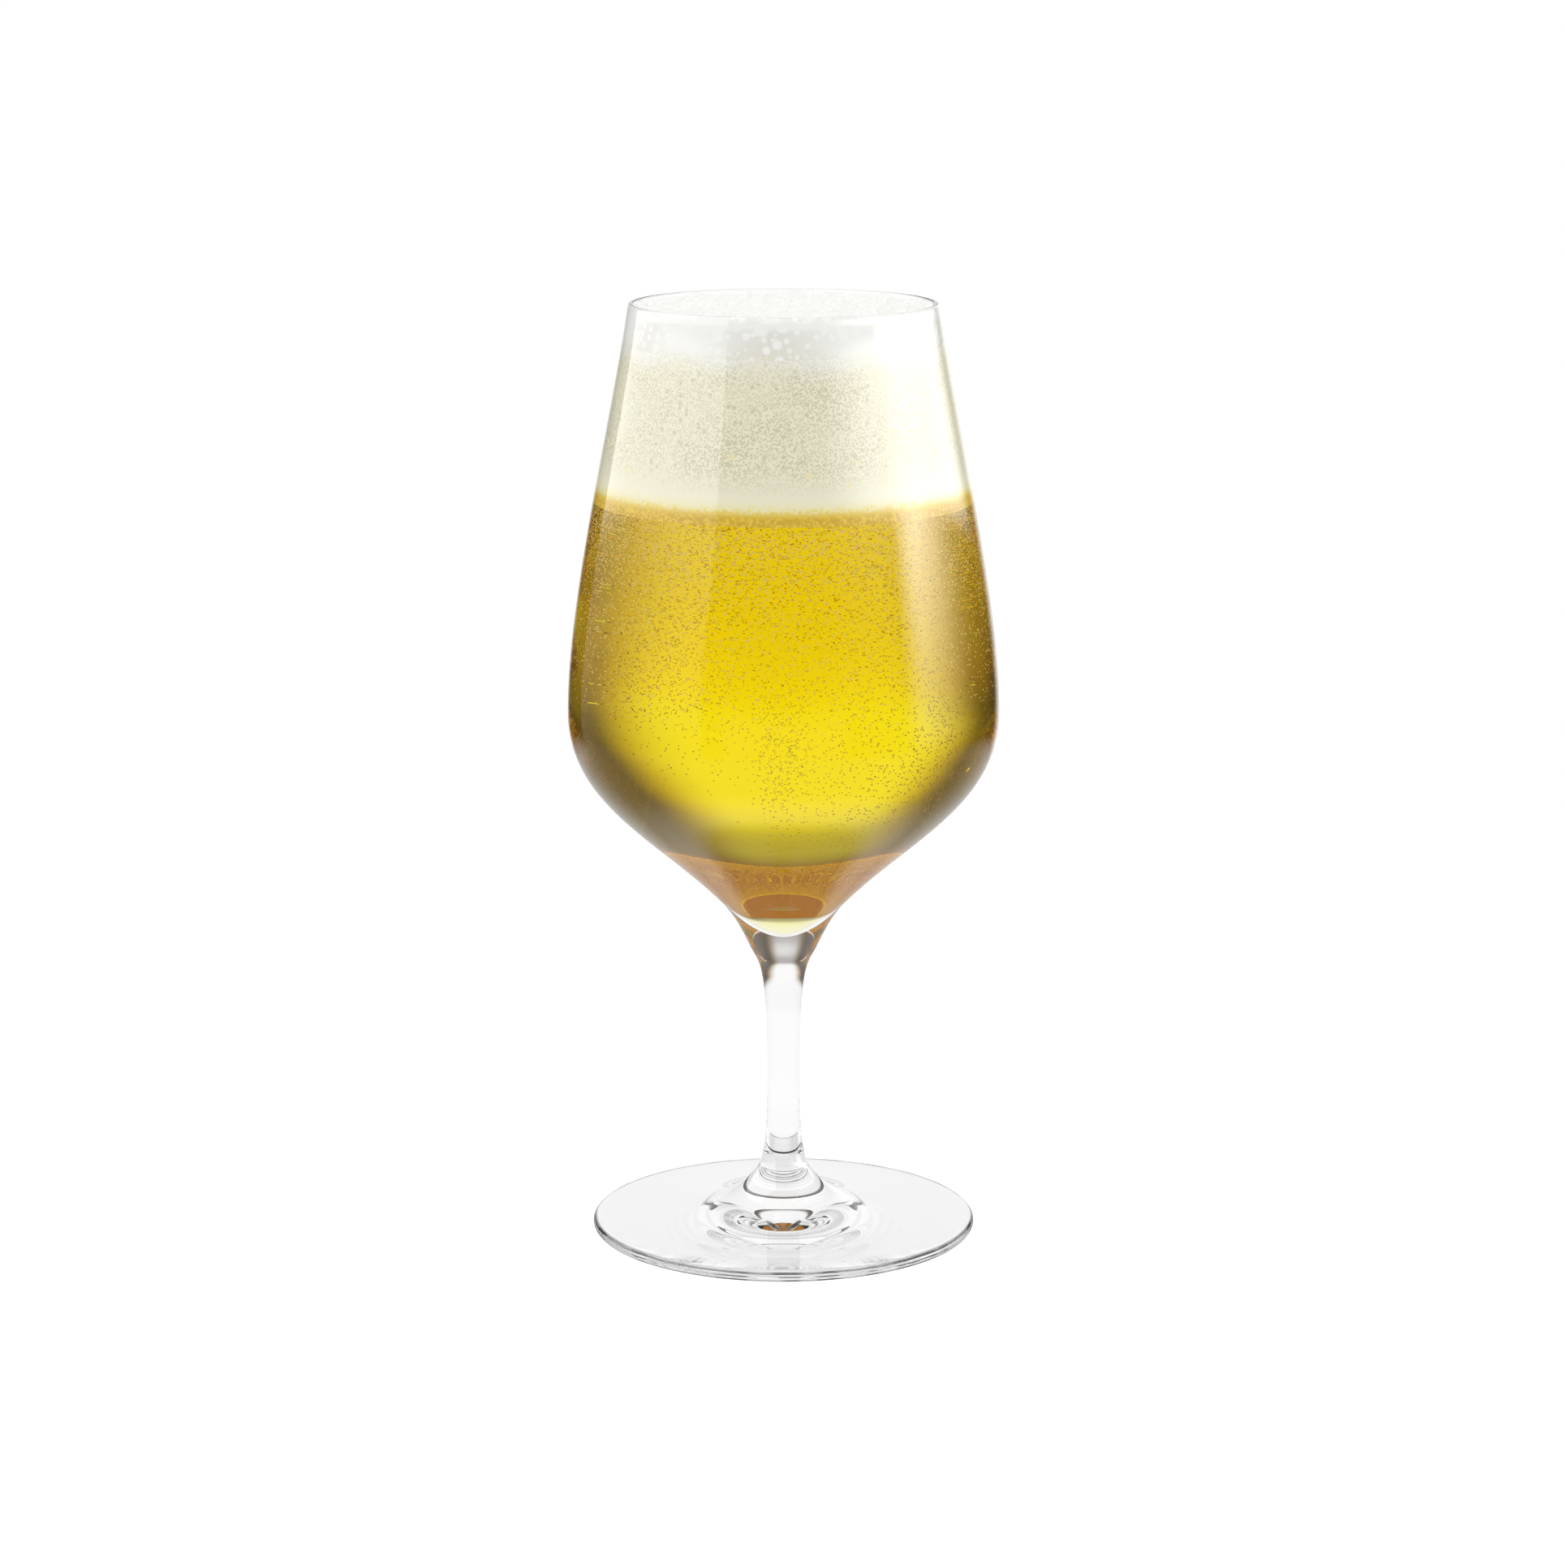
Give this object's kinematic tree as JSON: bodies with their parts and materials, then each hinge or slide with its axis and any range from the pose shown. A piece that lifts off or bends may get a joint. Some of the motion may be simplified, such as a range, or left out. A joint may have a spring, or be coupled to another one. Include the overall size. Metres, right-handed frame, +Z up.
{
  "type": "tulip beer glass",
  "caption": "Stemmed tulip beer glass with a belly that draws in to the rim, a slim stem and a round foot, holding pale beer under a thick head of foam.",
  "frame": {"origin": "middle of the circle that the foot stands on", "axes": "+Z up along the stem, from the foot to the rim; the glass is round, so +X and +Y are free"},
  "size_m": [0.0847, 0.0846, 0.185],
  "materials": {
    "clear_glass": "fire-polished",
    "beer": "clear liquid",
    "foam": "wet froth"
  },
  "bodies": {
    "root": {"foot": "clear_glass", "stem": "clear_glass", "bowl": "clear_glass", "beer": "beer", "foam_head": "foam", "froth": "foam"}
  },
  "joints": []
}
